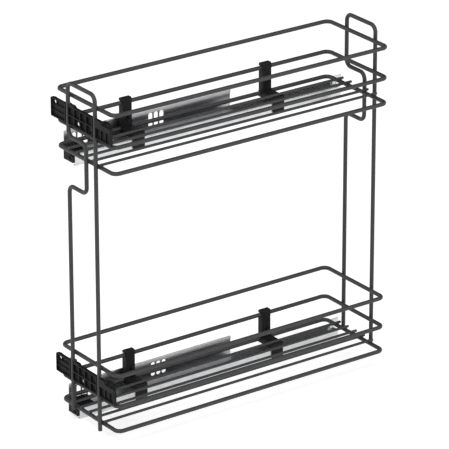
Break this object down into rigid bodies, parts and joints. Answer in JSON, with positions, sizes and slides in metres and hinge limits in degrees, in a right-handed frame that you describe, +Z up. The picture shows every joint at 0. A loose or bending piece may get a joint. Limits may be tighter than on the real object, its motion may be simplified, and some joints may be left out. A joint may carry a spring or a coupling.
{
  "type": "pull-out detergent basket",
  "caption": "Tall narrow pull-out with two wire baskets on concealed full-extension runners, side-mounted in a base cabinet.",
  "frame": {"origin": "outer face of the lower side bracket, midway between its two groups of slots", "axes": "+X from the cabinet side into the cabinet, -Y towards the door, +Z up"},
  "size_m": [0.1522, 0.491, 0.5145],
  "materials": {
    "coated_wire": "satin powder coat",
    "black_plastic": "fine matt",
    "galvanised_rail": "galvanised, satin",
    "zinc_sheet": "zinc plated, satin"
  },
  "bodies": {
    "cabinet_side": {"lower_cabinet_rail": "galvanised_rail", "lower_rivets": "galvanised_rail", "lower_side_bracket": "zinc_sheet", "upper_cabinet_rail": "galvanised_rail", "upper_rivets": "galvanised_rail", "upper_side_bracket": "zinc_sheet"},
    "lower_middle": {"lower_middle_rail": "galvanised_rail"},
    "upper_middle": {"upper_middle_rail": "galvanised_rail"},
    "basket": {"front_upright": "coated_wire", "lower_bottom_ring": "coated_wire", "lower_door_bracket": "black_plastic", "lower_drawer_rail": "galvanised_rail", "lower_floor_rod_1": "coated_wire", "lower_floor_rod_2": "coated_wire", "lower_floor_rod_3": "coated_wire", "lower_floor_rod_4": "coated_wire", "lower_floor_rod_5": "coated_wire", "lower_front_catch": "black_plastic", "lower_front_clip": "black_plastic", "lower_middle_ring": "coated_wire", "lower_rear_clip": "black_plastic", "lower_rear_stop": "galvanised_rail", "lower_top_ring": "coated_wire", "rear_upright": "coated_wire", "upper_bottom_ring": "coated_wire", "upper_door_bracket": "black_plastic", "upper_drawer_rail": "galvanised_rail", "upper_floor_rod_1": "coated_wire", "upper_floor_rod_2": "coated_wire", "upper_floor_rod_3": "coated_wire", "upper_floor_rod_4": "coated_wire", "upper_floor_rod_5": "coated_wire", "upper_front_catch": "black_plastic", "upper_front_clip": "black_plastic", "upper_middle_ring": "coated_wire", "upper_rear_clip": "black_plastic", "upper_rear_stop": "galvanised_rail", "upper_top_ring": "coated_wire"}
  },
  "joints": [
    {"name": "basket_slide", "type": "slide", "parent": "cabinet_side", "child": "basket", "axis": [0, -1, 0], "range_m": [0, 0.4]},
    {"name": "lower_middle_slide", "type": "slide", "parent": "cabinet_side", "child": "lower_middle", "axis": [0, -1, 0], "range_m": [0, 0.2]},
    {"name": "upper_middle_slide", "type": "slide", "parent": "cabinet_side", "child": "upper_middle", "axis": [0, -1, 0], "range_m": [0, 0.2]}
  ],
  "couplings": [
    {"joint": "lower_middle_slide", "follows": "basket_slide", "ratio": 0.5},
    {"joint": "upper_middle_slide", "follows": "basket_slide", "ratio": 0.5}
  ]
}
